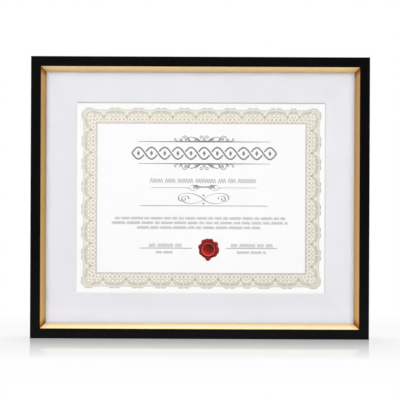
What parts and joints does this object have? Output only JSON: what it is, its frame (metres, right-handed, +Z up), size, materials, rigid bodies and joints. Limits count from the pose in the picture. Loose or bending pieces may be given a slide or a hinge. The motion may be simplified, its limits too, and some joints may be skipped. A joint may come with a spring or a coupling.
{
  "type": "certificate frame",
  "caption": "Landscape certificate frame: mitred black moulding with a gold slip, glass, a bevelled mat and a sheet, on an easel back with turn buttons and D-ring hangers.",
  "frame": {"origin": "middle of the bottom edge of the frame, half way through the depth of the moulding", "axes": "+X to the right of a viewer in front, +Y from the front to the back, +Z up"},
  "size_m": [0.3644, 0.0245, 0.3034],
  "materials": {
    "black_lacquer": "satin black lacquer on wood",
    "gold_foil": "burnished gold foil on wood",
    "clear_glass": "clear float glass",
    "mat_paper": "fine cool grey mat paper with a white core",
    "certificate_paper": "smooth white heavy paper, printed",
    "red_wax": "glossy red wax",
    "paper_tape": "gummed paper tape",
    "white_board": "plain white board",
    "corrugated_board": "brown kraft board",
    "brown_hardboard": "smooth brown hardboard",
    "black_hardboard": "hardboard with a black paper face",
    "zinc_steel": "zinc-plated sheet steel",
    "nickel_steel": "nickel-plated steel",
    "black_rubber": "soft black rubber"
  },
  "bodies": {
    "frame": {"back_panel": "brown_hardboard", "certificate": "certificate_paper", "corner_v_nails": "zinc_steel", "document_tapes": "paper_tape", "easel_hinge_pin": "zinc_steel", "easel_panel_leaf": "nickel_steel", "easel_panel_rivets": "nickel_steel", "filler_board": "corrugated_board", "glazing": "clear_glass", "hanger_rivets": "nickel_steel", "hanger_strap_side": "nickel_steel", "hanger_strap_top": "nickel_steel", "mat_board": "mat_paper", "moulding_bottom": "black_lacquer", "moulding_left": "black_lacquer", "moulding_right": "black_lacquer", "moulding_top": "black_lacquer", "mount_board": "white_board", "slip_bottom": "gold_foil", "slip_left": "gold_foil", "slip_right": "gold_foil", "slip_top": "gold_foil", "turn_button_screws": "zinc_steel", "wall_bumpers": "black_rubber", "wax_seal": "red_wax"},
    "strut": {"easel_strut": "black_hardboard", "easel_strut_leaf": "nickel_steel", "easel_strut_rivets": "nickel_steel"},
    "ring_top": {"hanger_ring_top": "nickel_steel"},
    "ring_side": {"hanger_ring_side": "nickel_steel"},
    "button_top_left": {"turn_button_top_left": "zinc_steel"},
    "button_top_right": {"turn_button_top_right": "zinc_steel"},
    "button_bottom_left": {"turn_button_bottom_left": "zinc_steel"},
    "button_bottom_right": {"turn_button_bottom_right": "zinc_steel"},
    "button_left": {"turn_button_left": "zinc_steel"},
    "button_right": {"turn_button_right": "zinc_steel"}
  },
  "joints": [
    {"name": "strut_swing", "type": "hinge", "parent": "frame", "child": "strut", "pos_m": [0, 0.01155, 0.2159], "axis": [1, 0, 0], "range_deg": [0, 25]},
    {"name": "ring_top_swing", "type": "hinge", "parent": "frame", "child": "ring_top", "pos_m": [0, 0.0117, 0.2781], "axis": [1, 0, 0], "range_deg": [0, 180]},
    {"name": "ring_side_swing", "type": "hinge", "parent": "frame", "child": "ring_side", "pos_m": [-0.13735, 0.0117, 0.1517], "axis": [0, 0, 1], "range_deg": [0, 180]},
    {"name": "button_top_left_turn", "type": "hinge", "parent": "frame", "child": "button_top_left", "pos_m": [-0.095, 0.0101, 0.2994], "axis": [0, 1, 0], "range_deg": [-90, 90]},
    {"name": "button_top_right_turn", "type": "hinge", "parent": "frame", "child": "button_top_right", "pos_m": [0.095, 0.0101, 0.2994], "axis": [0, 1, 0], "range_deg": [-90, 90]},
    {"name": "button_bottom_left_turn", "type": "hinge", "parent": "frame", "child": "button_bottom_left", "pos_m": [-0.095, 0.0101, 0.004], "axis": [0, 1, 0], "range_deg": [-90, 90]},
    {"name": "button_bottom_right_turn", "type": "hinge", "parent": "frame", "child": "button_bottom_right", "pos_m": [0.095, 0.0101, 0.004], "axis": [0, 1, 0], "range_deg": [-90, 90]},
    {"name": "button_left_turn", "type": "hinge", "parent": "frame", "child": "button_left", "pos_m": [-0.17815, 0.0101, 0.1517], "axis": [0, 1, 0], "range_deg": [-90, 90]},
    {"name": "button_right_turn", "type": "hinge", "parent": "frame", "child": "button_right", "pos_m": [0.17815, 0.0101, 0.1517], "axis": [0, 1, 0], "range_deg": [-90, 90]}
  ]
}
